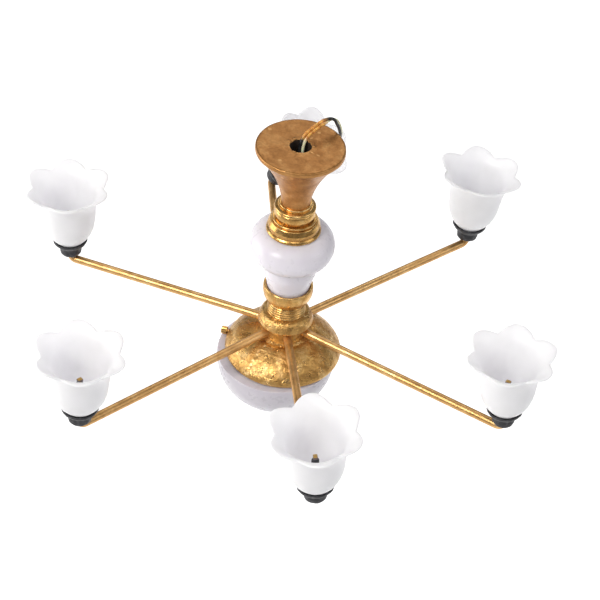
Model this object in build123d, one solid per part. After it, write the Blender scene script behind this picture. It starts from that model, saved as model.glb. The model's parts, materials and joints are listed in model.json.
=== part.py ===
from build123d import *
import math
import os

# Miniature six-arm ceiling light for a 1:12 dolls' house, in millimetres.
# The origin is the centre of the canopy's flat top, the face held against the ceiling. +Z points up,
# so the light hangs below z = 0.

# Column, from the top down: heights of the joints between its turned pieces
CANOPY_FOOT_Z = -9.7
UPPER_BEAD_FOOT_Z = -12.35
LOWER_BEAD_FOOT_Z = -14.8
VASE_FOOT_Z = -25.9
CUP_FOOT_Z = -28.3
COLLAR_FOOT_Z = -30.3
HUB_FOOT_Z = -34.2
DISH_EDGE_Z = -38.2

# Column: radii
FLANGE_R = 6.26
WIRE_HOLE_R = 1.5
NECK_R = 2.1
VASE_BULGE_R = 6.2
HUB_R = 4.1
HUB_BAND_R = 3.3
HUB_CAVITY_R = 2.3
DISH_R = 8.75
DISH_RING_R = 8.2
BOWL_R = 8.9
BOWL_NECK_R = 6.9
BOWL_WALL = 0.8
BOWL_CENTRE = (-1.05, -0.55, -38.95)
BOWL_NECK_TOP_Z = -37.6

# Central tube and its fastenings
STEM_R = 1.2
STEM_BORE_R = 0.75
STEM_SLACK = 0.02
STEM_TOP_Z = -6.7
STEM_FOOT_Z = -36.3
SEAT_Z = -34.7
WASHER_THICKNESS = 0.3
NUT_HEIGHT = 0.7
NUT_ACROSS_FLATS = 3.2

# Thumb screw in the dish's rim
SCREW_AZIMUTH = 159.0
SCREW_Z = -37.66
SCREW_R = 0.25
SCREW_SLACK = 0.03
SCREW_TIP = 7.72
SCREW_HEAD_R = 0.65
SCREW_HEAD = (8.8, 9.7)
SCREW_FLUTES = 10

# Arms: each is a straight tube, turned up at its tip. Along an arm, +X runs outward from the column.
ARM_COUNT = 6
FIRST_ARM_AZIMUTH = 150.0
SOCKET_Z = -33.2
ARM_REACH = 36.0
TUBE_R = 0.63
TUBE_BORE_R = 0.42
SOCKET_R = 0.66
TIP_BEND_R = 1.0
TIP_BEND_GAP = 0.05
TIP_HEIGHT = 2.6
SWAGE = (1.88, 2.08, 0.85)
LEAD_R = 0.28
LEAD_START = 1.55

# How each arm was set by hand: turn about the column and lamp's outward lean and sideways twist in
# degrees, and the height of its elbow over its socket in millimetres
ARM_TURN = (1.1, 1.6, 0.8, -4.4, 1.1, -2.2)
ARM_RISE = (-1.6, -1.1, 0.9, -2.3, -0.6, -1.5)
LAMP_LEAN = (1.6, -0.8, 0.0, -3.3, 3.3, -21.0)
LAMP_TWIST = (0.0, 0.0, 4.5, 0.0, 0.0, 27.0)

# Direction of one petal of each shade, in degrees from +X
PETAL_AZIMUTH = (87.0, 92.0, 88.0, 70.0, 84.0, 87.0)

# Lamps: heights are along the lamp's own axis, from the arm's elbow
HOLDER_FOOT = 1.1
HOLDER_R = 1.65
HOLDER_SEAT = 3.35
HOLDER_RIM = (2.65, 4.05)
HOLDER_STUB_R = 0.9
HOLDER_STUB_TOP = 4.6
POST_R = 0.5
POST_TOP = 8.7
SHADE_HOLE_R = 0.98
SHADE_WALL = 0.55
SHADE_R = 6.4
SHADE_TOP = 13.9
PETALS = 6
NOTCH_R = 2.6
NOTCH_DEPTH = 0.95
NOTCH_HEIGHT = 4.0
LED_SIZE = (1.5, 1.1, 0.55)

# Supply lead: a flat twin lead, as wide as CORD_D, from inside the canopy, over its rim and down
# behind the column to a tied hank and a small two-pin plug
CORD_D = 0.9
SPLICE = (0.62, -6.1, -4.0)
REAR_AZIMUTH = 80.3
HANK_DISTANCE = 9.2
HANK_TOP_Z = -13.6
HANK_HEIGHT = 18.4
HANK_DEPTH = 4.7
HANK_WIDTH = 2.9
TIE_WALL = 0.25
TIE_WIDTH = 1.4
PLUG_DISTANCE = 13.8
PLUG_TOP_Z = -23.5
PLUG_SIZE = (2.4, 4.4, 5.0)
PIN_R = 0.35
PIN_LENGTH = 2.4
PIN_PITCH = 2.2

LEAD_ROUTE = [
    (0.1, 0.4, -4.0),
    (0.1, 0.55, -1.9),
    (0.4, 1.0, 0.55),
    (1.8, 1.95, 1.35),
    (3.3, 2.75, 2.0),
    (4.6, 3.35, 2.2),
    (5.5, 3.6, 1.1),
    (6.1, 3.9, -0.7),
    (6.3, 5.1, -2.5),
    (5.6, 6.9, -4.2),
    (4.3, 8.4, -6.2),
    (3.0, 9.4, -8.6),
    (2.1, 9.7, -11.2),
    (1.75, 9.6, -13.6),
]


def disc(radius, low, high, bore=0.0):
    """Upright cylinder between two heights, with an optional through bore."""
    solid = Pos(0, 0, low) * Cylinder(radius, high - low, align=(Align.CENTER, Align.CENTER, Align.MIN))
    if bore:
        solid -= Pos(0, 0, low) * Cylinder(bore, high - low, align=(Align.CENTER, Align.CENTER, Align.MIN))
    return solid


def turned(*edges):
    """Solid turned about the Z axis from edges drawn as (radius, height)."""
    outline = Plane.XZ * make_face(Curve() + list(edges))
    return revolve(outline, Axis.Z)


def canopy():
    """Flange and trumpet in one casting: wire hole above, seat for the central tube below."""
    seat = STEM_R + STEM_SLACK
    edge = 0.3
    return turned(
        Line((WIRE_HOLE_R, 0), (FLANGE_R - edge, 0)),
        RadiusArc((FLANGE_R - edge, 0), (FLANGE_R, -edge), edge),
        Line((FLANGE_R, -edge), (FLANGE_R, -2.3 * edge)),
        Bezier((FLANGE_R, -2.3 * edge), (3.8, -3.4), (2.2, -7.0), (NECK_R, CANOPY_FOOT_Z)),
        Polyline(
            (NECK_R, CANOPY_FOOT_Z),
            (seat, CANOPY_FOOT_Z),
            (seat, STEM_TOP_Z),
            (WIRE_HOLE_R, STEM_TOP_Z + 0.3),
            (WIRE_HOLE_R, 0),
        ),
    )


def bead(top, foot, ridge_r, torus_r, band_top, band_r, foot_r):
    """Turned bead: a thin ridge, a groove, a rounded torus and a plain band below it."""
    bore = STEM_R + STEM_SLACK
    ridge = 0.3
    groove_z = top - ridge - 0.12
    return turned(
        Line((bore, top), (ridge_r - ridge / 2, top)),
        ThreePointArc((ridge_r - ridge / 2, top), (ridge_r, top - ridge / 2), (ridge_r - 0.06, top - ridge)),
        Line((ridge_r - 0.06, top - ridge), (ridge_r - 0.02, groove_z)),
        ThreePointArc(
            (ridge_r - 0.02, groove_z),
            (torus_r - 0.1, (groove_z + band_top) / 2 + 0.12),
            (torus_r, band_top + 0.1),
        ),
        Polyline(
            (torus_r, band_top + 0.1),
            (band_r, band_top),
            (foot_r, foot + 0.08),
            (foot_r - 0.08, foot),
            (bore, foot),
            (bore, top),
        ),
    )


def upper_bead():
    return bead(CANOPY_FOOT_Z, UPPER_BEAD_FOOT_Z, 2.4, 2.97, -10.75, 2.9, 2.82)


def lower_bead():
    return bead(UPPER_BEAD_FOOT_Z, LOWER_BEAD_FOOT_Z, 3.2, 3.72, -14.1, 3.72, 3.93)


def vase():
    """White bead: a rounded bulge over a cone that tapers into the cup."""
    bore = STEM_R + STEM_SLACK
    top, bulge = LOWER_BEAD_FOOT_Z, 2.7
    centre_r, centre_z = VASE_BULGE_R - bulge, top - bulge
    waist_z = centre_z - 0.93 * bulge
    waist_r = centre_r + math.sqrt(bulge**2 - (waist_z - centre_z) ** 2)
    return turned(
        Line((bore, top), (centre_r, top)),
        ThreePointArc((centre_r, top), (VASE_BULGE_R, centre_z), (waist_r, waist_z)),
        Polyline((waist_r, waist_z), (3.0, VASE_FOOT_Z), (bore, VASE_FOOT_Z), (bore, top)),
    )


def lower_cup():
    """Shallow gilt cup with a rolled rim, which the vase's foot stands in."""
    bore = STEM_R + STEM_SLACK
    return turned(
        Polyline((bore, VASE_FOOT_Z), (3.12, VASE_FOOT_Z), (3.38, -25.15)),
        ThreePointArc((3.38, -25.15), (3.6, -25.4), (3.7, -26.2)),
        ThreePointArc((3.7, -26.2), (3.38, -27.4), (2.62, CUP_FOOT_Z)),
        Polyline((2.62, CUP_FOOT_Z), (bore, CUP_FOOT_Z), (bore, VASE_FOOT_Z)),
    )


def ribbed_collar():
    """Neck with five turned ribs, slightly wider towards the hub."""
    bore = STEM_R + STEM_SLACK
    ribs = 5
    pitch = (CUP_FOOT_Z - COLLAR_FOOT_Z) / ribs
    edges = [Line((bore, CUP_FOOT_Z), (2.5, CUP_FOOT_Z))]
    for rib in range(ribs):
        top = CUP_FOOT_Z - rib * pitch
        inner, following = 2.5 + 0.05 * rib, 2.5 + 0.05 * (rib + 1)
        edges.append(
            ThreePointArc((inner, top), (inner + 0.16, top - pitch / 2), (following, top - pitch))
        )
    edges.append(Polyline((following, COLLAR_FOOT_Z), (bore, COLLAR_FOOT_Z), (bore, CUP_FOOT_Z)))
    return turned(*edges)


def arm_frame(arm):
    """Location of an arm: origin in its socket, +X along the tube, +Z towards its lamp."""
    azimuth = FIRST_ARM_AZIMUTH + arm * 360 / ARM_COUNT + ARM_TURN[arm]
    rise = math.degrees(math.asin(ARM_RISE[arm] / ARM_REACH))
    return Pos(0, 0, SOCKET_Z) * Rot(0, 0, azimuth) * Rot(0, -rise, 0) * Rot(LAMP_TWIST[arm], 0, 0)


def lamp_frame(arm):
    """Location of a lamp: origin at its arm's elbow, +Z along the lamp's axis."""
    return arm_frame(arm) * Pos(ARM_REACH, 0, 0) * Rot(0, lamp_tilt(arm), 0)


def lamp_tilt(arm):
    """Angle from the arm's own +Z to the lamp's axis, in degrees."""
    return LAMP_LEAN[arm] + math.degrees(math.asin(ARM_RISE[arm] / ARM_REACH))


def hub():
    """Domed hub over a plain band with six radial sockets, hollow where the lamp leads meet."""
    bore = STEM_R + STEM_SLACK
    casting = turned(
        Line((bore, COLLAR_FOOT_Z), (2.85, COLLAR_FOOT_Z)),
        ThreePointArc((2.85, COLLAR_FOOT_Z), (3.78, -30.95), (HUB_R, -31.85)),
        ThreePointArc((HUB_R, -31.85), (3.95, -32.2), (3.6, -32.32)),
        Polyline(
            (3.6, -32.32),
            (HUB_BAND_R, -32.4),
            (HUB_BAND_R, HUB_FOOT_Z),
            (HUB_CAVITY_R, HUB_FOOT_Z),
            (HUB_CAVITY_R, -32.2),
            (bore, -32.2),
            (bore, COLLAR_FOOT_Z),
        ),
    )
    socket = Pos(1.5, 0, 0) * Rot(0, 90, 0) * Cylinder(SOCKET_R, 3, align=(Align.CENTER, Align.CENTER, Align.MIN))
    for arm in range(ARM_COUNT):
        casting -= arm_frame(arm) * socket
    return casting


def stem():
    """Central tube that clamps the column together, with a lead hole behind each socket."""
    tube = disc(STEM_R, STEM_FOOT_Z, STEM_TOP_Z, STEM_BORE_R)
    lead_hole = Rot(0, 90, 0) * Cylinder(0.32, 2, align=(Align.CENTER, Align.CENTER, Align.MIN))
    for arm in range(ARM_COUNT):
        tube -= arm_frame(arm) * lead_hole
    return tube


def dish():
    """Thin domed dish that ends in an upright ring, bored for the thumb screw."""
    bore = STEM_R + STEM_SLACK
    shell = turned(
        Line((bore, HUB_FOOT_Z), (3.7, HUB_FOOT_Z)),
        ThreePointArc((3.7, HUB_FOOT_Z), (4.15, -34.42), (4.6, -34.5)),
        ThreePointArc((4.6, -34.5), (6.9, -35.6), (8.5, -37.35)),
        Polyline(
            (8.5, -37.35),
            (DISH_R, -37.8),
            (DISH_R, DISH_EDGE_Z + 0.1),
            (DISH_R - 0.1, DISH_EDGE_Z),
            (DISH_RING_R, DISH_EDGE_Z),
            (DISH_RING_R, -37.5),
            (7.7, -37.35),
        ),
        ThreePointArc((7.7, -37.35), (6.4, -35.85), (4.5, -34.98)),
        Polyline((4.5, -34.98), (3.6, SEAT_Z), (bore, SEAT_Z), (bore, HUB_FOOT_Z)),
    )
    return shell - Rot(0, 0, SCREW_AZIMUTH) * screw_rod(SCREW_R + SCREW_SLACK, DISH_RING_R - 0.5, DISH_R + 0.5)


def screw_rod(radius, start, end):
    """Rod along +X at the thumb screw's height."""
    rod = Cylinder(radius, end - start, align=(Align.CENTER, Align.CENTER, Align.MIN))
    return Pos(start, 0, SCREW_Z) * Rot(0, 90, 0) * rod


def bowl_screw():
    """Knurled thumb screw whose tip bears on the bowl's neck."""
    head_start, head_end = SCREW_HEAD
    screw = screw_rod(SCREW_R, SCREW_TIP, head_start) + screw_rod(SCREW_HEAD_R, head_start, head_end)
    flute = screw_rod(0.11, head_start, head_end - 0.15)
    for turn in range(SCREW_FLUTES):
        angle = turn * 360 / SCREW_FLUTES
        y, z = SCREW_HEAD_R * math.cos(math.radians(angle)), SCREW_HEAD_R * math.sin(math.radians(angle))
        screw -= Pos(0, y, z) * flute
    return Rot(0, 0, SCREW_AZIMUTH) * screw


def bowl():
    """Open bowl, a half-round shell with a narrower neck that stands inside the dish's ring."""
    shoulder = DISH_EDGE_Z - 0.15 - BOWL_CENTRE[2]
    outer_shoulder_r = math.sqrt(BOWL_R**2 - shoulder**2)
    inner_r = BOWL_R - BOWL_WALL
    neck_inner_r = BOWL_NECK_R - BOWL_WALL
    neck_top = BOWL_NECK_TOP_Z - BOWL_CENTRE[2]
    inner_shoulder = shoulder - BOWL_WALL
    inner_shoulder_r = math.sqrt(inner_r**2 - inner_shoulder**2)
    middle = math.sqrt(0.5)
    shell = turned(
        Line((0, -inner_r), (0, -BOWL_R)),
        ThreePointArc((0, -BOWL_R), (middle * BOWL_R, -middle * BOWL_R), (outer_shoulder_r, shoulder)),
        Polyline(
            (outer_shoulder_r, shoulder),
            (BOWL_NECK_R, shoulder),
            (BOWL_NECK_R, neck_top),
            (neck_inner_r, neck_top),
            (neck_inner_r, inner_shoulder),
            (inner_shoulder_r, inner_shoulder),
        ),
        ThreePointArc((inner_shoulder_r, inner_shoulder), (middle * inner_r, -middle * inner_r), (0, -inner_r)),
    )
    return Pos(*BOWL_CENTRE) * shell


def stem_washer():
    return disc(2.0, SEAT_Z - WASHER_THICKNESS, SEAT_Z, STEM_R + STEM_SLACK)


def stem_nut():
    """Hexagonal nut under the dish."""
    top = SEAT_Z - WASHER_THICKNESS
    corner_r = NUT_ACROSS_FLATS / math.sqrt(3)
    nut = Pos(0, 0, top - NUT_HEIGHT) * extrude(RegularPolygon(corner_r, 6), NUT_HEIGHT)
    return nut - disc(STEM_R, top - NUT_HEIGHT, top)


def tip_path(start, arm, height):
    """Line of a tube or lead: straight out along the arm, then up the lamp's axis."""
    tilt = math.radians(lamp_tilt(arm))
    tip = (ARM_REACH + height * math.sin(tilt), 0, height * math.cos(tilt))
    half_turn = math.radians(90 - lamp_tilt(arm)) / 2
    bend_r = min(TIP_BEND_R, (HOLDER_FOOT - TIP_BEND_GAP) / math.tan(half_turn))
    return FilletPolyline((start, 0, 0), (ARM_REACH, 0, 0), tip, radius=bend_r)


def arm_tube(arm):
    """Bent tube with a swaged collar inside the hub that keeps it from pulling out."""
    swage_start, swage_end, swage_r = SWAGE
    path = tip_path(swage_start, arm, TIP_HEIGHT)
    ends = Plane(origin=path @ 0, z_dir=path % 0)
    tube = sweep(ends * Circle(TUBE_R), path=path) - sweep(ends * Circle(TUBE_BORE_R), path=path)
    collar = Cylinder(swage_r, swage_end - swage_start, align=(Align.CENTER, Align.CENTER, Align.MIN))
    collar -= Cylinder(TUBE_R, swage_end - swage_start, align=(Align.CENTER, Align.CENTER, Align.MIN))
    return arm_frame(arm) * (tube + Pos(swage_start, 0, 0) * Rot(0, 90, 0) * collar)


def arm_lead(arm):
    """Pair of fine leads, as one round wire, through the arm to its lamp."""
    path = tip_path(LEAD_START, arm, POST_TOP)
    start = Plane(origin=path @ 0, z_dir=path % 0)
    return arm_frame(arm) * sweep(start * Circle(LEAD_R), path=path)


def lamp_holder(arm):
    """Black holder: a round boss on the arm's tip, a dished rim, and a stub and post for the lamp."""
    rim_r, rim_z = HOLDER_RIM
    grip = TUBE_R + 0.01
    bore = LEAD_R + 0.05
    body = turned(
        Polyline((bore, TIP_HEIGHT), (grip, TIP_HEIGHT), (grip, HOLDER_FOOT), (1.15, HOLDER_FOOT)),
        ThreePointArc((1.15, HOLDER_FOOT), (1.5, 1.25), (HOLDER_R, 1.7)),
        Polyline((HOLDER_R, 1.7), (HOLDER_R, 2.75), (rim_r, rim_z - 0.35), (rim_r, rim_z), (rim_r - 0.1, rim_z)),
        Polyline(
            (rim_r - 0.1, rim_z),
            (2.05, HOLDER_SEAT),
            (HOLDER_STUB_R, HOLDER_SEAT),
            (HOLDER_STUB_R, HOLDER_STUB_TOP),
            (POST_R, HOLDER_STUB_TOP),
            (POST_R, POST_TOP),
            (bore, POST_TOP),
            (bore, TIP_HEIGHT),
        ),
    )
    return lamp_frame(arm) * body


def led(arm):
    """Small lamp chip on top of the holder's post."""
    width, depth, height = LED_SIZE
    chip = Box(width, depth, height, align=(Align.CENTER, Align.CENTER, Align.MIN))
    return lamp_frame(arm) * Pos(0, 0, POST_TOP) * chip


def shade_profile(inset):
    """Shade's side as a smooth curve from its foot to a petal's tip, moved inward by inset."""
    side = [
        (2.45, 4.2),
        (3.3, 5.4),
        (3.85, 7.0),
        (4.08, 9.0),
        (4.3, 11.0),
        (4.75, 12.4),
        (5.5, 13.3),
        (SHADE_R, SHADE_TOP),
    ]
    return [(radius - inset, height + 0.4 * inset) for radius, height in side]


def shade(arm):
    """Tulip shade: a thin cup whose flared rim is scalloped into petals."""
    outer, inner = shade_profile(0), shade_profile(SHADE_WALL)
    foot = HOLDER_SEAT + 0.05
    floor = foot + SHADE_WALL
    inner[-1] = (SHADE_R - SHADE_WALL, SHADE_TOP)
    cup = turned(
        Polyline((SHADE_HOLE_R, floor), (SHADE_HOLE_R, foot), (1.6, foot)),
        Spline((1.6, foot), *outer),
        Line(outer[-1], inner[-1]),
        Spline(*reversed(inner), (1.5, floor)),
        Line((1.5, floor), (SHADE_HOLE_R, floor)),
    )
    notch = Pos(SHADE_R - NOTCH_DEPTH + NOTCH_R, 0, SHADE_TOP) * Cylinder(NOTCH_R, NOTCH_HEIGHT)
    first = PETAL_AZIMUTH[arm] - FIRST_ARM_AZIMUTH - arm * 360 / ARM_COUNT - ARM_TURN[arm]
    for petal in range(PETALS):
        cup -= Rot(0, 0, first + (petal + 0.5) * 360 / PETALS) * notch
    return lamp_frame(arm) * cup


def lead_splice():
    """Insulated splice inside the canopy, where the supply lead joins the lamp leads."""
    radius, low, high = SPLICE
    return Pos(LEAD_ROUTE[0][0], LEAD_ROUTE[0][1], 0) * disc(radius, low, high)


def rear(distance, z, side=0.0):
    """Point behind the column, at a distance from its axis and a sideways offset."""
    away = math.radians(REAR_AZIMUTH)
    return (
        distance * math.cos(away) + side * math.sin(away),
        distance * math.sin(away) - side * math.cos(away),
        z,
    )


def tail_route():
    """Short loop from the back of the hank over to the top of the plug."""
    start = HANK_DISTANCE + HANK_DEPTH / 2 - 0.9
    return [
        rear(start, HANK_TOP_Z),
        rear(start + 0.2, HANK_TOP_Z + 2.2),
        rear(PLUG_DISTANCE - 1.0, HANK_TOP_Z + 3.2),
        rear(PLUG_DISTANCE + 0.1, HANK_TOP_Z + 0.9),
        rear(PLUG_DISTANCE + 0.1, HANK_TOP_Z - 2.6),
        rear(PLUG_DISTANCE - 0.1, HANK_TOP_Z - 6.4),
        rear(PLUG_DISTANCE, PLUG_TOP_Z),
    ]


def cord_tube(route):
    """Round tube along straight runs joined by the largest arcs the runs allow."""
    points = [Vector(*point) for point in route]
    radii = []
    for before, corner, after in zip(points, points[1:], points[2:]):
        run_in, run_out = corner - before, after - corner
        half_turn = math.radians(run_in.get_angle(run_out)) / 2
        radii.append(0.45 * min(run_in.length, run_out.length) / math.tan(half_turn))
    print("bend radii", [round(radius, 1) for radius in radii])
    path = FilletPolyline(*points, radius=radii)
    tube = sweep(Plane(origin=path @ 0, z_dir=path % 0) * Circle(CORD_D / 2), path=path)
    expected = math.pi * (CORD_D / 2) ** 2 * path.length
    print("length", round(path.length, 1), "volume", round(tube.volume, 2), "expected", round(expected, 2))
    return tube


def hank_block(clearance=0.0):
    """Outer shape of the folded lead, standing behind the column."""
    depth, width = HANK_DEPTH + 2 * clearance, HANK_WIDTH + 2 * clearance
    block = Box(depth, width, HANK_HEIGHT)
    block = fillet(block.edges().filter_by(Axis.Y), 0.48 * HANK_DEPTH)
    return Pos(*rear(HANK_DISTANCE, HANK_TOP_Z - HANK_HEIGHT / 2)) * Rot(0, 0, REAR_AZIMUTH) * block


def hank_tie():
    """Soft band around the middle of the hank."""
    band = Box(HANK_DEPTH + 2 * TIE_WALL, HANK_WIDTH + 2 * TIE_WALL, TIE_WIDTH)
    band = fillet(band.edges().filter_by(Axis.Z), 2 * TIE_WALL)
    band -= Box(HANK_DEPTH, HANK_WIDTH, TIE_WIDTH)
    return Pos(*rear(HANK_DISTANCE, HANK_TOP_Z - 0.45 * HANK_HEIGHT)) * Rot(0, 0, REAR_AZIMUTH) * band


def plug_frame():
    return Pos(*rear(PLUG_DISTANCE, PLUG_TOP_Z - PLUG_SIZE[2] / 2)) * Rot(0, 0, REAR_AZIMUTH)


def plug_body():
    """Moulded plug with softened edges."""
    block = Box(*PLUG_SIZE)
    block = fillet(block.edges().filter_by(Axis.Z), 0.7)
    return plug_frame() * fillet(block.faces().sort_by(Axis.Z)[-1].edges(), 0.35)


def plug_pins():
    """The plug's two round pins."""
    pin = Cylinder(PIN_R, PIN_LENGTH, align=(Align.CENTER, Align.CENTER, Align.MAX))
    pair = [Pos(0, side * PIN_PITCH / 2, -PLUG_SIZE[2] / 2) * pin for side in (-1, 1)]
    return Compound([plug_frame() * one for one in pair])


PIECES = {
    "canopy": canopy,
    "upper_bead": upper_bead,
    "lower_bead": lower_bead,
    "vase": vase,
    "lower_cup": lower_cup,
    "ribbed_collar": ribbed_collar,
    "hub": hub,
    "stem": stem,
    "stem_washer": stem_washer,
    "stem_nut": stem_nut,
    "dish": dish,
    "bowl": bowl,
    "bowl_screw": bowl_screw,
    "lead_splice": lead_splice,
    "hank_tie": hank_tie,
    "plug_body": plug_body,
    "plug_pins": plug_pins,
    "lead_hank": hank_block,
}
LAMP_PIECES = {
    "arm": arm_tube,
    "arm_lead": arm_lead,
    "lamp_holder": lamp_holder,
    "led": led,
    "shade": shade,
}

os.makedirs("parts", exist_ok=True)
for name, make in PIECES.items():
    export_step(make(), f"parts/{name}.step")
for name, make in LAMP_PIECES.items():
    for arm in range(ARM_COUNT):
        export_step(make(arm), f"parts/{name}_{arm + 1}.step")
export_step(cord_tube(LEAD_ROUTE), "parts/lead_tube.step")
export_step(cord_tube(tail_route()), "parts/lead_tail.step")
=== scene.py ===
import json
import math

import bpy
import numpy as np
from mathutils import Euler, Matrix, Vector, noise

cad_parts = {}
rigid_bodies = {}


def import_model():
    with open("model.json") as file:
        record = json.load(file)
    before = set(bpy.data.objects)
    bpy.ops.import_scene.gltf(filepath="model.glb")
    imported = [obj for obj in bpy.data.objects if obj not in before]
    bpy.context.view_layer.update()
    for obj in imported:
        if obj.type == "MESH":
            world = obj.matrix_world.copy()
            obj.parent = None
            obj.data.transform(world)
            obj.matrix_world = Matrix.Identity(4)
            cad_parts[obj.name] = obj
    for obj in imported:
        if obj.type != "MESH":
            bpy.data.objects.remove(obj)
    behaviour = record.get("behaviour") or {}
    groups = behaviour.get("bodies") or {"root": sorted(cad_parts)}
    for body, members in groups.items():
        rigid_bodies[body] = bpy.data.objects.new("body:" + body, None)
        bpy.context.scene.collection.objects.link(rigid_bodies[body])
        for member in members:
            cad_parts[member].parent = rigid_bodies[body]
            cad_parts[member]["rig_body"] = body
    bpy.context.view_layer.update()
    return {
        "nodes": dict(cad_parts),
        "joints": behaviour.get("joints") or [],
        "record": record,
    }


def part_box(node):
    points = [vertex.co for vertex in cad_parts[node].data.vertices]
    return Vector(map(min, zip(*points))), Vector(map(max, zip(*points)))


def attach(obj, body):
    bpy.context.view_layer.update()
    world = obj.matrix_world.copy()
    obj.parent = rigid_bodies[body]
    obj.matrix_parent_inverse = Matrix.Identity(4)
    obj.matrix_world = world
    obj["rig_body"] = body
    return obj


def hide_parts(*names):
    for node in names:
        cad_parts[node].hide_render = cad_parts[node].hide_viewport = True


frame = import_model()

# Lengths are in millimetres and angles in degrees, and MM turns a length into Blender's metres.
MM = 0.001

# Camera, at the photograph's viewing angle
CAMERA_PLACE = (-30.81, -190.83, 146.83)
CAMERA_TURN = -9.74
CAMERA_FALL = 42.18
CAMERA_ROLL = 5.56
CAMERA_LENS = 106.14

# World: its colours at the bottom and near the top
WORLD_STRENGTH = 0.24
WORLD_LOW = (0.8, 0.8, 0.82)
WORLD_TOP = (1.0, 1.0, 1.0)
WORLD_TOP_AT = 0.75

# Soft boxes: name, place, side, watts and tint
LIGHTS = (
    ("key", (-340, -250, 330), 190, 1.7, (1, 0.98, 0.95)),
    ("side", (-430, 90, 10), 260, 0.8, (1, 0.99, 0.97)),
    ("fill", (420, -180, 260), 260, 0.4, (0.95, 0.97, 1)),
    ("front", (20, -260, 430), 240, 0.45, (1, 1, 1)),
    ("back", (60, 380, 420), 300, 0.45, (1, 1, 1)),
)
LIGHT_AIM = (0, 0, -30)

# Floor, whose glow comes up between two distances along its own Y
FLOOR_DROP = 350.0
FLOOR_HALF = 3000.0
GLOW_START = -20.0
GLOW_END = 130.0

# Column: details that the boxes of its pieces don't give
BORE_R = 1.22
WIRE_HOLE_R = 1.5
WIRE_HOLE_FOOT = -6.4
BORE_TOP = -6.7
LIP_R = 1.75
FLANGE_EDGE = 0.69
FLANGE_ROUNDING = 0.3
TRUMPET_PULLS = ((3.8, -3.4), (2.2, -7.0))
NECK_R = 2.1
UPPER_BEAD_RADII = (2.4, 2.97, 2.9, 2.82)
UPPER_BAND_DROP = 1.05
LOWER_BEAD_RADII = (3.2, 3.72, 3.72, 3.93)
LOWER_BAND_DROP = 1.75
VASE_ROUNDING = 2.7
VASE_CONE = ((3.9, -22.2), (3.35, -24.2))
VASE_FOOT_R = 3.0
CUP_SEAT_Z = -25.9
COLLAR_R = 2.5
COLLAR_RIBS = 5
RIB_HEIGHT = 0.17
HUB_BAND_R = 3.3
HUB_RECESS_R = 2.3
HUB_RECESS_Z = -32.2
DISH_SEAT_Z = -34.7
BOWL_NECK_R = 6.9
BOWL_WALL = 0.8
BOWL_SHOULDER_Z = -38.43

# Thumb screw: distances are from the column's axis
SCREW_START = 7.8
SCREW_HEAD_START = 8.8
SCREW_HEAD_END = 9.7
SCREW_SHANK_R = 0.25
SCREW_HEAD_EASE = 0.03

# Arms and lamps: heights are along the lamp's own axis, from the arm's elbow
LAMPS = range(1, 7)
TUBE_R = 0.63
TUBE_START = 1.9
TIP_BEND_R = 1.0
TIP_HEIGHT = 2.6
HOLDER_FOOT = 1.1
POST_R = 0.5
POST_TOP = 8.7
CHIP_CENTRE = POST_TOP + 0.275
CHIP_SQUEEZE = (0.62, 0.5)
LENS_FOOT = 0.362
PETALS = 6
PETAL_AZIMUTH = (87.0, 92.0, 88.0, 70.0, 84.0, 87.0)
SHADE_R = 6.4
NOTCH_DEPTH = 0.95
LOBE_START = 0.6
LOBE_HEIGHT = 0.12
SHADE_HOLE_R = 1.0
SHADE_WALL = 0.5
SHADE_UNEVEN = 0.05

# Supply lead: two insulated strands side by side, as wide as CORD_D
CORD_D = 0.9
REAR_AZIMUTH = 80.3
HANK_DISTANCE = 9.2
HANK_TOP_Z = -13.6
HANK_HEIGHT = 18.4
HANK_DEPTH = 4.7
HANK_WIDTH = 2.9
HANK_PITCH = 0.98
HANK_TURNS = 3
HANK_TOP_DROPS = (1.1, 0.7, 0.0)
HANK_FOOT_LIFTS = (0.0, 0.25, 0.1)
FIRST_BEND_RUN = 18.0
CROSSING_RUN = 2.6
PLUG_DISTANCE = 13.8
PLUG_TOP_Z = -23.5
PLUG_DEPTH = 2.4
PLUG_WIDTH = 4.4
PIN_PITCH = 2.2
PIN_R = 0.35

LEAD_ROUTE = [
    (0.1, 0.4, -4.0),
    (0.1, 0.55, -1.9),
    (0.4, 1.0, 0.55),
    (1.8, 1.95, 1.35),
    (3.3, 2.75, 2.0),
    (4.6, 3.35, 2.2),
    (5.5, 3.6, 1.1),
    (6.1, 3.9, -0.7),
    (6.3, 5.1, -2.5),
    (5.6, 6.9, -4.2),
    (4.3, 8.4, -6.2),
    (3.0, 9.4, -8.6),
    (2.1, 9.7, -11.2),
    (1.75, 9.6, -13.6),
]

SLOTS = {part["node"]: part["material_slot"] for part in frame["record"]["subparts"]}


# ---------------------------------------------------------------- camera, light and floor


def add_object(name, data):
    thing = bpy.data.objects.new(name, data)
    bpy.context.scene.collection.objects.link(thing)
    return thing


def add_camera():
    data = bpy.data.cameras.new("camera")
    data.lens = CAMERA_LENS
    data.sensor_width = 36
    data.clip_start, data.clip_end = 10 * MM, 20
    camera = add_object("camera", data)
    turn = Euler((0, 0, math.radians(CAMERA_TURN))).to_matrix()
    tilt = Euler((math.radians(90 - CAMERA_FALL), 0, 0)).to_matrix()
    roll = Euler((0, 0, math.radians(CAMERA_ROLL))).to_matrix()
    place = Matrix.Translation(Vector(CAMERA_PLACE) * MM)
    camera.matrix_world = place @ (turn @ tilt @ roll).to_4x4()
    bpy.context.scene.camera = camera


def add_area_light(name, place, side, power, tint):
    """Square soft box that faces the middle of the object."""
    data = bpy.data.lights.new(name, "AREA")
    data.size = side * MM
    data.energy = power
    data.color = tint
    light = add_object(name, data)
    light.location = Vector(place) * MM
    ahead = Vector(LIGHT_AIM) * MM - light.location
    light.rotation_euler = ahead.to_track_quat("-Z", "Y").to_euler()


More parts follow.
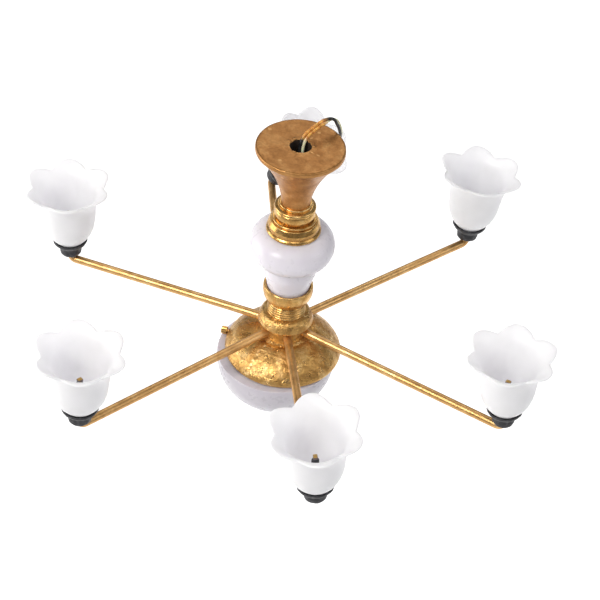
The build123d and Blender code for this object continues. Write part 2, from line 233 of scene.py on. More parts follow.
def add_studio():
    """Pale world that is brighter overhead, five soft boxes and a wide pale floor."""
    scene = bpy.context.scene
    scene.view_settings.view_transform = "Standard"
    world = bpy.data.worlds.new("studio")
    world.use_nodes = True
    tree = world.node_tree
    place = tree.nodes.new("ShaderNodeTexCoord")
    height = tree.nodes.new("ShaderNodeSeparateXYZ")
    ramp = tree.nodes.new("ShaderNodeValToRGB")
    low, high = ramp.color_ramp.elements
    low.position, low.color = 0.0, (*WORLD_LOW, 1)
    high.position, high.color = WORLD_TOP_AT, (*WORLD_TOP, 1)
    background = tree.nodes["Background"]
    background.inputs["Strength"].default_value = WORLD_STRENGTH
    tree.links.new(place.outputs["Generated"], height.inputs[0])
    tree.links.new(height.outputs["Z"], ramp.inputs[0])
    tree.links.new(ramp.outputs["Color"], background.inputs["Color"])
    scene.world = world

    for light in LIGHTS:
        add_area_light(*light)

    sheet = bpy.data.meshes.new("floor")
    half = FLOOR_HALF * MM
    corners = [(-half, -half, 0), (half, -half, 0), (half, half, 0), (-half, half, 0)]
    sheet.from_pydata(corners, [], [(0, 1, 2, 3)])
    floor = add_object("floor", sheet)
    floor.location.z = -FLOOR_DROP * MM
    floor.rotation_euler.z = math.radians(CAMERA_TURN)
    paper = Graph("floor_paper", Roughness=0.9)
    paper.set("Base Color", (0.93, 0.93, 0.93, 1))
    paper.set("Emission Color", (1, 1, 1, 1))
    glow = paper.rise("Y", GLOW_START, GLOW_END, 0.45, 0.85)
    paper.link(glow, paper.shader, "Emission Strength")
    sheet.materials.append(paper.material)


# ---------------------------------------------------------------- materials


class Graph:
    """A material's node tree, with its shader's sockets by name."""

    def __init__(self, name, **sockets):
        self.material = bpy.data.materials.new(name)
        self.material.use_nodes = True
        self.tree = self.material.node_tree
        self.shader = self.tree.nodes["Principled BSDF"]
        self.coordinates = self.tree.nodes.new("ShaderNodeTexCoord").outputs["Object"]
        for socket, value in sockets.items():
            self.set(socket.replace("_", " "), value)

    def set(self, socket, value):
        self.shader.inputs[socket].default_value = value

    def link(self, output, node, socket):
        self.tree.links.new(output, node.inputs[socket])

    def noise(self, feature, detail=3.0, roughness=0.55, distortion=0.0):
        """Noise whose features are about that many millimetres across."""
        node = self.tree.nodes.new("ShaderNodeTexNoise")
        node.inputs["Scale"].default_value = 1 / (feature * MM)
        node.inputs["Detail"].default_value = detail
        node.inputs["Roughness"].default_value = roughness
        node.inputs["Distortion"].default_value = distortion
        self.link(self.coordinates, node, "Vector")
        return node.outputs["Fac"]

    def rise(self, axis, start, end, low, top):
        """Number that goes smoothly from low to top between two places along an axis.
        The places are in millimetres."""
        parts = self.tree.nodes.new("ShaderNodeSeparateXYZ")
        self.link(self.coordinates, parts, "Vector")
        node = self.tree.nodes.new("ShaderNodeMapRange")
        node.interpolation_type = "SMOOTHSTEP"
        limits = {"From Min": start * MM, "From Max": end * MM, "To Min": low, "To Max": top}
        for socket, value in limits.items():
            node.inputs[socket].default_value = value
        self.link(parts.outputs[axis], node, "Value")
        return node.outputs["Result"]

    def ramp(self, value, stops):
        """Colours or greys along a value, from (position, colour) pairs."""
        node = self.tree.nodes.new("ShaderNodeValToRGB")
        elements = node.color_ramp.elements
        while len(elements) < len(stops):
            elements.new(0.5)
        for element, (position, colour) in zip(elements, stops):
            element.position = position
            channels = colour if isinstance(colour, tuple) else (colour,) * 3
            element.color = (*channels, 1)
        self.link(value, node, "Fac")
        return node.outputs["Color"]

    def clouded(self, value, deep, tint):
        """Colour that drifts between two tones along a value."""
        return self.ramp(value, [(0.35, deep), (0.65, tint)])

    def mix(self, share, first, second, blend="MIX"):
        """Colour mixed from two; each of share, first and second is an output or a constant."""
        node = self.tree.nodes.new("ShaderNodeMix")
        node.data_type = "RGBA"
        node.blend_type = blend
        for socket, value in ((0, share), (6, first), (7, second)):
            if isinstance(value, bpy.types.NodeSocket):
                self.tree.links.new(value, node.inputs[socket])
            else:
                node.inputs[socket].default_value = value
        return node.outputs[2]

    def edges(self, low, high):
        """1 at the mesh's convex edges, 0 on its flats."""
        geometry = self.tree.nodes.new("ShaderNodeNewGeometry")
        return self.ramp(geometry.outputs["Pointiness"], [(low, 0.0), (high, 1.0)])

    def bump(self, heights):
        """Bumps from (height output, millimetres, strength) triples, one on top of another."""
        normal = None
        for height, distance, strength in heights:
            node = self.tree.nodes.new("ShaderNodeBump")
            node.inputs["Distance"].default_value = distance * MM
            node.inputs["Strength"].default_value = strength
            self.link(height, node, "Height")
            if normal is not None:
                self.link(normal, node, "Normal")
            normal = node.outputs["Normal"]
        self.link(normal, self.shader, "Normal")

    def colour(self, output):
        self.link(output, self.shader, "Base Color")

    def rough(self, feature, detail, low, high):
        """Roughness from low to high, with features that many millimetres across."""
        varied = self.ramp(self.noise(feature, detail), [(0.3, low), (0.7, high)])
        self.link(varied, self.shader, "Roughness")


def antique_gold(name, tones, metal, roughness, grain, wrinkle=0.0):
    """Gold paint or plating: uneven tone, a fine grain, and brighter edges that are partly wear and
    partly painted highlight.
    wrinkle is how strong the wrinkles of hammered metal are."""
    dark, middle, light = tones
    graph = Graph(name, Metallic=metal)
    stops = [(0.2, dark), (0.5, middle), (0.82, light)]
    tone = graph.ramp(graph.noise(2.2, 4.0, 0.6, 0.6), stops)
    specks = graph.ramp(graph.noise(0.35, 2.0), [(0.35, 0.8), (0.6, 1.0)])
    toned = graph.mix(0.7, tone, specks, "MULTIPLY")
    # Convex edges lightened towards the light tone: partly rubbed wear, partly a painted highlight.
    worn_and_highlit_edges = graph.mix(graph.edges(0.51, 0.6), toned, (*light, 1))
    graph.colour(worn_and_highlit_edges)
    graph.rough(0.9, 3.0, roughness - 0.07, roughness + 0.09)
    bumps = [(graph.noise(0.22, 3.0), 0.03, grain), (graph.noise(1.6, 2.0), 0.06, 0.3)]
    if wrinkle:
        bumps.append((graph.noise(0.6, 2.0, 0.5, 2.5), 0.16, wrinkle))
    graph.bump(bumps)
    return graph.material


def milky(name, tint, deep, roughness, depth, glow):
    """Milky translucent resin, faintly clouded: light goes depth millimetres in.
    glow is how strongly it shines by itself: a painted glow that stands in for light coming through
    the thin resin."""
    graph = Graph(name)
    graph.colour(graph.clouded(graph.noise(4.0, 3.0, 0.5, 0.4), deep, tint))
    graph.set("Subsurface Weight", 0.8)
    graph.set("Subsurface Radius", (1.0, 0.96, 1.04))
    graph.set("Subsurface Scale", depth * MM)
    # Any glow is painted light, not a lamp.
    graph.set("Emission Color", (*tint, 1))
    graph.set("Emission Strength", glow)
    graph.set("IOR", 1.47)
    graph.rough(1.1, 2.0, roughness - 0.05, roughness + 0.07)
    graph.bump([(graph.noise(3.0, 1.0), 0.06, 0.25)])
    return graph.material


def black_plastic():
    """Rough black plastic with grey scuffs."""
    graph = Graph("black_plastic")
    scuffs = [(0.5, (0.016, 0.016, 0.02)), (0.75, (0.075, 0.075, 0.085))]
    graph.colour(graph.ramp(graph.noise(0.5, 4.0, 0.65), scuffs))
    graph.rough(0.4, 3.0, 0.42, 0.62)
    graph.bump([(graph.noise(0.3, 4.0), 0.06, 0.6)])
    return graph.material


def plain_plastic(name, tint, roughness):
    """Moulded plastic with a faint orange-peel skin."""
    graph = Graph(name)
    deep = tuple(0.9 * channel for channel in tint)
    graph.colour(graph.clouded(graph.noise(1.5, 2.0), deep, tint))
    graph.rough(0.6, 2.0, roughness - 0.05, roughness + 0.05)
    graph.bump([(graph.noise(0.3, 2.0), 0.015, 0.4)])
    return graph.material


def plain_metal(name, tint, roughness):
    """Bare metal with fine drawn scratches."""
    graph = Graph(name, Metallic=1.0)
    deep = tuple(0.8 * channel for channel in tint)
    graph.colour(graph.clouded(graph.noise(0.8, 3.0), deep, tint))
    graph.rough(0.3, 3.0, roughness - 0.06, roughness + 0.08)
    graph.bump([(graph.noise(0.15, 2.0), 0.01, 0.5)])
    return graph.material


def strand_skin(name, tint, deep):
    """Thin insulation whose own colour turns to gold where a point attribute of the wire says so: a
    painted reflection of the gilt flange it passes over.
    """
    graph = Graph(name, IOR=1.5)
    graph.set("Subsurface Weight", 0.15)
    graph.set("Subsurface Scale", 0.2 * MM)
    painted_reflection = graph.tree.nodes.new("ShaderNodeAttribute")
    painted_reflection.attribute_name = "painted_reflection"
    own = graph.clouded(graph.noise(0.7, 2.0), deep, tint)
    # Gold painted on the strands over the flange: a painted reflection, not the wire's own colour.
    gold = graph.clouded(graph.noise(0.6, 3.0), (0.52, 0.2, 0.03), (0.95, 0.5, 0.12))
    graph.colour(graph.mix(painted_reflection.outputs["Fac"], own, gold))
    graph.rough(0.5, 2.0, 0.2, 0.34)
    graph.bump([(graph.noise(0.25, 2.0), 0.01, 0.4)])
    return graph.material


def make_materials():
    painted = ((0.3, 0.125, 0.03), (0.46, 0.21, 0.062), (0.66, 0.36, 0.13))
    tube = ((0.46, 0.23, 0.07), (0.72, 0.41, 0.15), (0.92, 0.62, 0.29))
    bright = ((0.36, 0.17, 0.045), (0.66, 0.38, 0.12), (0.94, 0.66, 0.3))
    return {
        "gilt": antique_gold("gilt", painted, 0.8, 0.42, 0.35),
        "gilt_bright": antique_gold("gilt_bright", bright, 0.95, 0.26, 0.2),
        "gilt_hammered": antique_gold("gilt_hammered", bright, 0.95, 0.3, 0.3, 0.7),
        "gilt_tube": antique_gold("gilt_tube", tube, 0.85, 0.34, 0.5),
        "hole_shadow": plain_plastic("hole_shadow", (0.03, 0.018, 0.01), 0.8),
        "brass_tube": plain_metal("brass_tube", (0.72, 0.5, 0.2), 0.3),
        "white_resin": milky("white_resin", (0.8, 0.77, 0.82), (0.74, 0.71, 0.76), 0.3, 0.8, 0.0),
        # The bowl's resin is a darker copy of the white resin: painted shade on the bowl.
        "bowl_resin": milky("bowl_resin", (0.64, 0.61, 0.66), (0.58, 0.55, 0.6), 0.3, 0.8, 0.0),
        # The shades glow a little by themselves: painted light standing in for light that comes
        # through their thin walls.
        "shade_white": milky("shade_white", (0.85, 0.84, 0.87), (0.81, 0.8, 0.83), 0.36, 2.2, 0.05),
        "black_plastic": black_plastic(),
        "led_yellow": plain_plastic("led_yellow", (0.45, 0.27, 0.06), 0.3),
        "led_case": plain_plastic("led_case", (0.2, 0.15, 0.12), 0.4),
        "lead_clear": plain_plastic("lead_clear", (0.7, 0.42, 0.16), 0.3),
        "strand_pale": strand_skin("strand_pale", (0.87, 0.83, 0.56), (0.75, 0.7, 0.42)),
        "strand_dark": strand_skin("strand_dark", (0.03, 0.03, 0.03), (0.012, 0.012, 0.014)),
        "tie_white": plain_plastic("tie_white", (0.78, 0.78, 0.75), 0.6),
        "plug_white": plain_plastic("plug_white", (0.82, 0.8, 0.74), 0.4),
        "pin_metal": plain_metal("pin_metal", (0.75, 0.75, 0.76), 0.2),
    }


# ---------------------------------------------------------------- mesh helpers


def share(value):
    """The value, held between 0 and 1."""
    return min(1.0, max(0.0, value))


def signed_power(value, power):
    """The value's size to a power, with the value's own sign."""
    return math.copysign(abs(value) ** power, value)


def stand_for(piece, *nodes):
    """The piece rides with the body of these CAD nodes, which are hidden so that it shows in their
    place.
    """
    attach(piece, frame["nodes"][nodes[0]]["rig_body"])
    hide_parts(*nodes)
    return piece


def mesh_object(name, points, faces, materials, crease=38):
    """Smooth-shaded mesh from points in millimetres.
    An edge that turns by more than crease degrees stays sharp."""
    mesh = bpy.data.meshes.new(name)
    mesh.from_pydata([Vector(point) * MM for point in points], [], faces)
    mesh.validate()
    mesh.shade_smooth()
    mesh.set_sharp_from_angle(angle=math.radians(crease))
    for material in materials:
        mesh.materials.append(material)
    mesh.update()
    return add_object(name, mesh)


def smooth_line(points, steps=8):
    """Points along a smooth curve through the given (radius, height) points."""
    knots = [np.array(point, float) for point in points]
    knots = [2 * knots[0] - knots[1], *knots, 2 * knots[-1] - knots[-2]]
    line = []
    for before, start, end, after in zip(knots, knots[1:], knots[2:], knots[3:]):
        for step in range(steps):
            t = step / steps
            line.append(
                0.5
                * (
                    2 * start
                    + (end - before) * t
                    + (2 * before - 5 * start + 4 * end - after) * t**2
                    + (3 * start - before - 3 * end + after) * t**3
                )
            )
    line.append(knots[-2])
    return [tuple(point) for point in line]


def arc_line(centre, radius, start, end, steps=10):
    """Points of an arc in (radius, height), between two angles in degrees."""
    line = []
    for step in range(steps + 1):
        angle = math.radians(start + (end - start) * step / steps)
        line.append((centre[0] + radius * math.cos(angle), centre[1] + radius * math.sin(angle)))
    return line


def straight(start, end, steps):
    """Evenly spaced points from start up to, and not including, end."""
    return [
        tuple(start[axis] + (end[axis] - start[axis]) * step / steps for axis in range(2))
        for step in range(steps)
    ]


def section_normals(section):
    """Outward direction at each point of a closed (radius, height) section, drawn either way."""
    points = np.array(section)
    along = np.roll(points, -1, axis=0) - np.roll(points, 1, axis=0)
    along /= np.maximum(np.linalg.norm(along, axis=1), 1e-9)[:, None]
    return np.stack([-along[:, 1], along[:, 0]], axis=1) * turning_sign(points)


def turning_sign(points):
    """-1 or 1, so that a closed section's normals point out of it."""
    r, z = points[:, 0], points[:, 1]
    area = np.sum(r * np.roll(z, -1) - np.roll(r, -1) * z)
    return -1.0 if area > 0 else 1.0


def lathe(name, section, material, segments=160, relief=None, centre=(0, 0)):
    """Solid turned about an upright axis from a closed (radius, height) section.
    relief gives how far the surface stands out at a point, in millimetres."""
    normals = section_normals(section)
    points = []
    for segment in range(segments):
        angle = 2 * math.pi * segment / segments
        c, s = math.cos(angle), math.sin(angle)
        for (r, z), (out_r, out_z) in zip(section, normals):
            if relief is not None:
                lift = relief(Vector((r * c, r * s, z)))
                r, z = r + out_r * lift, z + out_z * lift
            points.append((centre[0] + r * c, centre[1] + r * s, z))
    faces = ring_faces(segments, len(section), turning_sign(np.array(section)))
    return mesh_object(name, points, faces, [material])


def ring_faces(segments, count, sign=1.0):
    """Quads of a surface closed both ways, from segments sections of count points each."""
    faces = []
    for segment in range(segments):
        near, far = segment * count, (segment + 1) % segments * count
        for index in range(count):
            following = (index + 1) % count
            face = (near + index, far + index, far + following, near + following)
            faces.append(face if sign < 0 else face[::-1])
    return faces


def hammered(size, depth, start, end):
    """Relief of small round dents between two heights, fading out at both."""

    def relief(place):
        distances, _ = noise.voronoi(place / size)
        fade = share((place.z - start) / 0.5) * share((end - place.z) / 0.35)
        uneven = 0.6 * depth * noise.noise(place / (2.2 * size))
        return fade * (depth * (min(1.0, 1.35 * distances[0]) ** 2 - 0.45) + uneven)

    return relief


def uneven(size, depth):
    """Slight unevenness all over."""
    return lambda place: depth * noise.noise(place / size)


def node_span(node):
    """(outer radius, foot height, top height) of a turned CAD node, in millimetres."""
    low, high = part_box(node)
    return (high.x - low.x) / 2 / MM, low.z / MM, high.z / MM


# ---------------------------------------------------------------- column


def make_canopy(materials):
    """Flange and trumpet, with a raised, rough lip round the wire hole."""
    flange_r, foot, top = node_span("canopy")
    corners = ((flange_r, -FLANGE_EDGE), *TRUMPET_PULLS, (NECK_R, foot))
    trumpet = []
    for step in range(49):
        t = step / 48
        weights = ((1 - t) ** 3, 3 * t * (1 - t) ** 2, 3 * t * t * (1 - t), t**3)
        trumpet.append(
            tuple(sum(w * corner[axis] for w, corner in zip(weights, corners)) for axis in range(2))
        )
    face_r = flange_r - FLANGE_ROUNDING
    face = straight((WIRE_HOLE_R + 0.08, top), (face_r, top), 26)
    edge = arc_line((face_r, top - FLANGE_ROUNDING), FLANGE_ROUNDING, 90, 0, 6)
    inside = straight((BORE_R, foot), (BORE_R, BORE_TOP), 6)
    inside += straight((WIRE_HOLE_R, WIRE_HOLE_FOOT), (WIRE_HOLE_R, -0.1), 12)
    section = face + edge + trumpet + inside + [(WIRE_HOLE_R, top - 0.1)]

    def relief(place):
        reach = math.hypot(place.x, place.y)
        raggedness = 1 + 2.2 * noise.noise(place / 0.5)
        lip = 0.05 * math.exp(-(((reach - LIP_R) / 0.3) ** 2)) * raggedness
        face_share = 1.0 if place.z > -0.05 and reach > 1.4 else 0.0
        waves = 0.035 * noise.noise(place / 1.7) - 0.02
        edge_share = share((reach - 5.4) / 0.6)
        return face_share * (lip + waves) + edge_share * 0.03 * noise.noise(place / 1.1)

    piece = lathe("canopy_body", section, materials["gilt"], 200, relief)
    piece.data.materials.append(materials["hole_shadow"])
    for polygon in piece.data.polygons:
        middle = polygon.center / MM
        if math.hypot(middle.x, middle.y) < WIRE_HOLE_R + 0.04 and middle.z < -0.25:
            polygon.material_index = 1
    return stand_for(piece, "canopy")


def bead_section(node, radii, band_drop):
    """Thin ridge, groove, rounded torus and a fuller band, from the top down."""
    ridge_r, torus_r, band_r, foot_r = radii
    _, foot, top = node_span(node)
    groove_z, band_top = top - 0.42, top - band_drop
    middle = (groove_z + band_top) / 2
    outline = [(BORE_R, top)] + straight((BORE_R, top), (ridge_r - 0.15, top), 5)[1:]
    outline += arc_line((ridge_r - 0.15, top - 0.15), 0.15, 90, -60, 8)
    outline += [(ridge_r - 0.1, groove_z + 0.02)]
    outline += smooth_line(
        [
            (ridge_r - 0.06, groove_z),
            (ridge_r + 0.35 * (torus_r - ridge_r), groove_z - 0.04),
            (torus_r - 0.08, middle + 0.1),
            (torus_r, middle - 0.12),
            (torus_r - 0.03, band_top + 0.08),
        ],
        7,
    )
    drop = band_top - foot
    outline += smooth_line(
        [
            (band_r - 0.2, band_top - 0.02),
            (band_r - 0.04, band_top - 0.16 * drop),
            (0.5 * (band_r + foot_r) + 0.07, band_top - 0.5 * drop),
            (foot_r, foot + 0.2 * drop),
            (foot_r - 0.16, foot + 0.02),
        ],
        7,
    )
    outline += [(foot_r - 0.2, foot), (BORE_R, foot)]
    return outline


def make_beads(materials):
    """The two gilt beads under the trumpet, slightly uneven."""
    made = []
    for node, radii, drop in (
        ("upper_bead", UPPER_BEAD_RADII, UPPER_BAND_DROP),
        ("lower_bead", LOWER_BEAD_RADII, LOWER_BAND_DROP),
    ):
        section = bead_section(node, radii, drop)
        piece = lathe(node + "_ring", section, materials["gilt_bright"], 192, uneven(1.4, 0.02))
        made.append(stand_for(piece, node))
    return made


def make_vase(materials):
    """White bead: a rounded bulge over a cone that stands in the cup."""
    bulge_r, foot, top = node_span("vase")
    middle_r, middle_z = bulge_r - VASE_ROUNDING, top - VASE_ROUNDING
    outline = straight((BORE_R, top), (middle_r, top), 8)
    outline += arc_line((middle_r, middle_z), VASE_ROUNDING, 90, -66, 34)
    waist_r, waist_z = outline[-1]
    cone = [(waist_r, waist_z), (waist_r - 0.45, waist_z - 0.42), *VASE_CONE]
    outline += smooth_line(cone, 8)[1:]
    outline += [(VASE_FOOT_R, foot)]
    outline += straight((BORE_R, foot), (BORE_R, top), 14)
    piece = lathe("vase_bulb", outline, materials["white_resin"], 176, uneven(2.4, 0.03))
    return stand_for(piece, "vase")


def make_cup(materials):
    """Shallow gilt cup with a rolled rim."""
    _, foot, _ = node_span("lower_cup")
    outline = [(BORE_R, CUP_SEAT_Z), (3.05, CUP_SEAT_Z), (3.16, -25.6), (3.26, -25.28)]
    outline += arc_line((3.45, -25.33), 0.19, 165, 20, 8)
    wall = [(3.66, -25.5), (3.72, -26.0), (3.62, -26.8), (3.3, -27.55), (2.62, foot)]
    outline += smooth_line(wall, 7)
    outline += straight((2.5, foot), (BORE_R, foot), 3) + [(BORE_R, foot)]
    piece = lathe("lower_cup_ring", outline, materials["gilt_bright"], 176, uneven(1.2, 0.03))
    return stand_for(piece, "lower_cup")


def make_collar(materials):
    """Neck with turned ribs, slightly wider towards the hub."""
    _, foot, top = node_span("ribbed_collar")
    pitch = (top - foot) / COLLAR_RIBS
    outline = [(BORE_R, top)]
    for rib in range(COLLAR_RIBS):
        base = COLLAR_R + 0.05 * rib
        for step in range(10):
            t = step / 10
            out = base + 0.005 * step + RIB_HEIGHT * math.sin(math.pi * t) ** 0.7
            outline.append((out, top - pitch * (rib + t)))
    outline += [(COLLAR_R + 0.25, foot), (BORE_R, foot)]
    piece = lathe("ribbed_collar_neck", outline, materials["gilt_bright"], 176, uneven(0.8, 0.03))
    return stand_for(piece, "ribbed_collar")


def make_hub(materials):
    """Hammered dome over a plain band that the arms enter."""
    hub_r, foot, top = node_span("hub")
    outline = [(BORE_R, top), (2.4, top)]
    dome = [(2.85, top), (3.42, top - 0.22), (3.85, top - 0.75), (hub_r, top - 1.45)]
    outline += smooth_line(dome, 12)
    outline += smooth_line([(hub_r, top - 1.62), (3.96, top - 1.86), (3.55, top - 1.98)], 6)
    outline += [(HUB_BAND_R + 0.06, top - 2.06), (HUB_BAND_R, top - 2.14)]
    outline += straight((HUB_BAND_R, top - 2.3), (HUB_BAND_R, foot + 0.1), 6)
    outline += [(HUB_BAND_R, foot), (HUB_RECESS_R, foot)]
    outline += [(HUB_RECESS_R, HUB_RECESS_Z), (BORE_R, HUB_RECESS_Z)]
    relief = hammered(0.8, 0.05, top - 1.9, top - 0.05)
    piece = lathe("hub_dome", outline, materials["gilt_hammered"], 240, relief)
    return stand_for(piece, "hub")


def make_dish(materials):
    """Thin domed dish: a hollow ring by the hub, then a finely hammered slope to the rim."""
    dish_r, edge, top = node_span("dish")
    outline = [(BORE_R, top), (3.0, top)]
    outline += smooth_line(
        [
            (3.5, top - 0.02),
            (4.0, top - 0.24),
            (4.6, top - 0.3),
            (5.8, top - 0.74),
            (6.9, top - 1.4),
            (7.78, top - 2.2),
            (8.45, top - 3.05),
            (dish_r - 0.02, top - 3.66),
        ],
        12,
    )
    outline += arc_line((dish_r - 0.1, edge + 0.1), 0.1, 0, -90, 4)
    outline += [(8.2, edge), (8.2, -37.5), (7.7, -37.35)]
    underside = [(7.6, -37.2), (7.1, -36.5), (6.2, -35.7), (5.3, -35.2), (4.5, -34.98)]
    outline += smooth_line(underside, 6)
    outline += [(3.6, DISH_SEAT_Z), (BORE_R, DISH_SEAT_Z)]
    relief = hammered(0.75, 0.045, top - 3.7, top - 0.12)
    piece = lathe("dish_dome", outline, materials["gilt_hammered"], 360, relief)
    return stand_for(piece, "dish")


def make_bowl(materials):
    """White bowl with a narrower neck, open above."""
    low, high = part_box("bowl")
    centre = ((low.x + high.x) / 2 / MM, (low.y + high.y) / 2 / MM)
    bowl_r = (high.x - low.x) / 2 / MM
    middle_z = low.z / MM + bowl_r
    neck_top = high.z / MM
    shoulder, ceiling = BOWL_SHOULDER_Z, BOWL_SHOULDER_Z - BOWL_WALL
    rise = math.degrees(math.asin((shoulder - middle_z) / bowl_r))
    inner_r, inner_neck_r = bowl_r - BOWL_WALL, BOWL_NECK_R - BOWL_WALL
    inner_rise = math.degrees(math.asin((ceiling - middle_z) / inner_r))
    outline = arc_line((0, middle_z), bowl_r, -89.6, rise, 60)
    outline += [(BOWL_NECK_R + 0.2, shoulder), (BOWL_NECK_R, shoulder + 0.08)]
    outline += [(BOWL_NECK_R, neck_top - 0.08), (BOWL_NECK_R - 0.1, neck_top)]
    outline += [(inner_neck_r + 0.1, neck_top), (inner_neck_r, neck_top - 0.1)]
    outline += [(inner_neck_r, ceiling)]
    outline += arc_line((0, middle_z), inner_r, inner_rise, -89.5, 50)
    # The bowl takes the darker copy of the white resin, which is painted shade.
    piece = lathe("bowl_shell", outline, materials["bowl_resin"], 176, uneven(3.0, 0.03), centre)
    return stand_for(piece, "bowl")


def make_thumb_screw(materials):
    """Thumb screw along X: a thin shank and a fluted head, eased a little from the CAD head."""
    low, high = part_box("bowl_screw")
    azimuth = math.atan2((low.y + high.y) / 2, (low.x + high.x) / 2)
    head_r = (high.z - low.z) / 2 / MM - SCREW_HEAD_EASE
    outline = [(0.02, SCREW_START), (SCREW_SHANK_R - 0.05, SCREW_START + 0.03)]
    outline += [(SCREW_SHANK_R, SCREW_START + 0.13), (SCREW_SHANK_R, SCREW_HEAD_START)]
    outline += [(head_r - 0.08, SCREW_HEAD_START), (head_r, SCREW_HEAD_START + 0.08)]
    outline += straight((head_r, SCREW_HEAD_START + 0.14), (head_r, SCREW_HEAD_END - 0.14), 4)
    outline += arc_line((head_r - 0.13, SCREW_HEAD_END - 0.13), 0.13, 0, 90, 5)
    outline += [(0.02, SCREW_HEAD_END)]
    sides = 80
    points = []
    for side in range(sides):
        angle = 2 * math.pi * side / sides
        for r, out in outline:
            knurl = 0.05 * abs(math.sin(5 * angle)) if r > 0.9 * head_r else 0.0
            points.append((out, (r - knurl) * math.cos(angle), (r - knurl) * math.sin(angle)))
    faces = ring_faces(sides, len(outline))
    piece = mesh_object("thumb_screw", points, faces, [materials["gilt_bright"]])
    height = (low.z + high.z) / 2
    piece.matrix_world = Matrix.Translation((0, 0, height)) @ Matrix.Rotation(azimuth, 4, "Z")
    return stand_for(piece, "bowl_screw")


# ---------------------------------------------------------------- arms and lamps


def lamp_place(number):
    """Place of a lamp, read from its CAD chip, with its origin at the elbow.
    +Z goes up the lamp's axis and +X away from the column."""
    corners = np.array([vertex.co for vertex in frame["nodes"][f"led_{number}"].data.vertices])
    middle = corners.mean(axis=0)
    _, axes = np.linalg.eigh(np.cov((corners - middle).T))
    up, out = Vector(axes[:, 0]), Vector(axes[:, 2])
    if up.z < 0:
        up = -up
    if out.dot(Vector(middle)) < 0:
        out = -out
    side = up.cross(out)
    place = Matrix((out, side, up)).transposed().to_4x4()
    place.translation = Vector(middle) - CHIP_CENTRE * MM * up
    return place


def tube_rings(places, radius, sides, first_side):
    """Points of round rings along a line, without twist, and the side direction at each."""
    lines = [Vector(place) for place in places]
    side = Vector(first_side)
    rings, sideways = [], []
    for index, place in enumerate(lines):
        ahead = lines[min(index + 1, len(lines) - 1)] - lines[max(index - 1, 0)]
        ahead.normalize()
        side = (side - ahead * side.dot(ahead)).normalized()
        other = ahead.cross(side)
        sideways.append((side.copy(), other))
        for step in range(sides):
            angle = 2 * math.pi * step / sides
            rings.append(place + radius * (math.cos(angle) * side + math.sin(angle) * other))
    return rings, sideways


def tube_faces(rings, sides, first=0):
    """Quads between rings, with a flat cap at each end."""
    faces = []
    for ring in range(rings - 1):
        for step in range(sides):
            a, b = first + ring * sides + step, first + ring * sides + (step + 1) % sides
            faces.append((a, b, b + sides, a + sides))
    faces.append(tuple(first + step for step in reversed(range(sides))))
    faces.append(tuple(first + (rings - 1) * sides + step for step in range(sides)))
    return faces


def make_arm(number, materials):
    """Straight tube from the hub, turned up into its lamp holder."""
    place = lamp_place(number)
    joint = next(one for one in frame["joints"] if one["name"] == f"arm_swivel_{number}")
    socket, out = Vector(joint["pos_m"]) / MM, Vector(joint["axis"])
    elbow, up = place.translation / MM, place.col[2].to_3d()
    turn = out.angle(up)
    bend_r = min(TIP_BEND_R, (HOLDER_FOOT - 0.05) / math.tan(turn / 2))
    back = bend_r * math.tan(turn / 2)
    start, end = elbow - back * out, elbow + back * up
    inward = (up - out * out.dot(up)).normalized()
    centre = start + bend_r * inward
    line = [socket + TUBE_START * out]
    length = (start - line[0]).length
    line += [line[0] + out * length * step / 40 for step in range(1, 41)]
    for step in range(1, 13):
        angle = turn * step / 12
        line.append(centre - bend_r * math.cos(angle) * inward + bend_r * math.sin(angle) * out)
    line += [end + up * (TIP_HEIGHT - back) * step / 3 for step in range(1, 4)]
    sides = 28
    points, _ = tube_rings(line, TUBE_R, sides, inward)
    faces = tube_faces(len(line), sides)
    piece = mesh_object(f"arm_tube_{number}", points, faces, [materials["gilt_tube"]])
    return stand_for(piece, f"arm_{number}")


def make_holder(number, materials):
    """Black holder: a boss on the arm's tip, a dished rim, and a stub and post for the lamp."""
    outline = [(TUBE_R, TIP_HEIGHT), (TUBE_R, HOLDER_FOOT + 0.05), (TUBE_R + 0.06, HOLDER_FOOT)]
    outline += smooth_line([(1.05, HOLDER_FOOT), (1.38, 1.2), (1.58, 1.45), (1.65, 1.85)], 6)
    outline += straight((1.65, 2.0), (1.65, 2.7), 4)
    outline += smooth_line([(1.68, 2.76), (2.05, 2.98), (2.42, 3.38), (2.64, 3.72)], 5)
    outline += arc_line((2.56, 3.96), 0.09, 0, 160, 6)
    outline += smooth_line([(2.3, 3.68), (2.0, 3.42), (1.6, 3.35), (0.9, 3.35)], 4)
    outline += [(0.9, 4.5), (0.8, 4.6), (POST_R + 0.05, 4.62)]
    outline += straight((POST_R, 4.7), (POST_R, POST_TOP), 10)
    outline += [(0.33, POST_TOP), (0.33, TIP_HEIGHT)]
    offset = Vector((11.0, 0, 0)) * number

    def relief(point):
        place = point + offset
        return 0.05 * noise.noise(place / 0.8) + 0.03 * noise.noise(place / 0.33)

    piece = lathe(f"lamp_holder_body_{number}", outline, materials["black_plastic"], 88, relief)
    piece.matrix_world = lamp_place(number)
    return stand_for(piece, f"lamp_holder_{number}")


